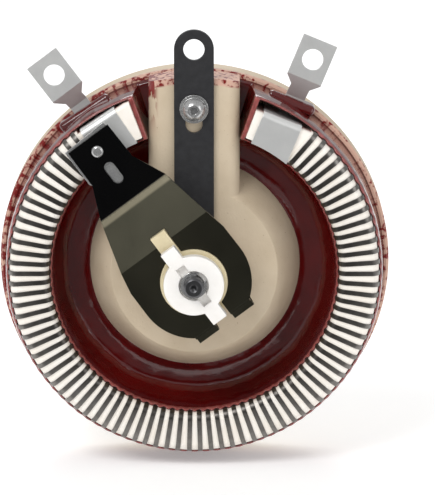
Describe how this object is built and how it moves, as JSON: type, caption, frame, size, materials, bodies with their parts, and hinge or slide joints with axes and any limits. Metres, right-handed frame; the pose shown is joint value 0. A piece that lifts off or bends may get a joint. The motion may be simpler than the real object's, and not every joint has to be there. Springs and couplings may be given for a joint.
{
  "type": "wirewound rheostat",
  "caption": "Panel-mount ring rheostat: ceramic base, enamelled core wound with flat ribbon, turning contact arm, screw terminals, bushing and knob.",
  "frame": {"origin": "on the shaft axis, in the mounting face that rests against the back of the panel", "axes": "+Y along the shaft out of the panel towards the knob, -Y towards the winding and the arm, +Z towards the terminals"},
  "size_m": [0.127, 0.083, 0.142],
  "materials": {
    "ceramic_body": "unglazed, fine pores and specks",
    "white_ceramic": "fired matt",
    "resistance_ribbon": "rolled nickel-chrome ribbon, worn bright on the running face",
    "vitreous_enamel": "glossy fired enamel",
    "tinned_steel": "satin tinned",
    "black_oxide_steel": "satin dark grey",
    "copper_alloy": "rubbed",
    "plated_steel": "zinc plated",
    "brass_metal": "turned",
    "shaft_steel": "turned steel",
    "cream_ceramic": "fired matt",
    "white_glazed_cap": "satin white",
    "spring_steel": "blued, near mirror",
    "graphite": "pressed copper-graphite",
    "black_plastic": "moulded phenolic, satin",
    "marker_paint": "paint fill"
  },
  "bodies": {
    "stator": {"base": "ceramic_body", "core": "white_ceramic", "winding": "resistance_ribbon", "enamel": "vitreous_enamel", "left_terminal": "tinned_steel", "right_terminal": "tinned_steel", "centre_terminal": "black_oxide_steel", "slip_ring": "copper_alloy", "clamp_screw": "plated_steel", "clamp_lock_washer": "plated_steel", "clamp_flat_washer": "plated_steel", "clamp_nut": "plated_steel", "bushing": "brass_metal", "bushing_locknut": "plated_steel", "panel_washer": "plated_steel", "panel_nut": "plated_steel"},
    "rotor": {"shaft": "shaft_steel", "shaft_clip": "plated_steel", "thrust_washer": "brass_metal", "drive_pin": "plated_steel", "drive_hub": "cream_ceramic", "hub_cap": "white_glazed_cap", "retaining_ring": "plated_steel", "contact_arm": "spring_steel", "brush_plate": "tinned_steel", "brush": "graphite", "brush_rivet": "spring_steel", "knob": "black_plastic", "knob_insert": "brass_metal", "set_screws": "plated_steel", "pointer_mark": "marker_paint"}
  },
  "joints": [
    {"name": "shaft_turn", "type": "hinge", "parent": "stator", "child": "rotor", "pos_m": [0, 0, 0], "axis": [0, -1, 0], "range_deg": [0, 286.4]}
  ]
}
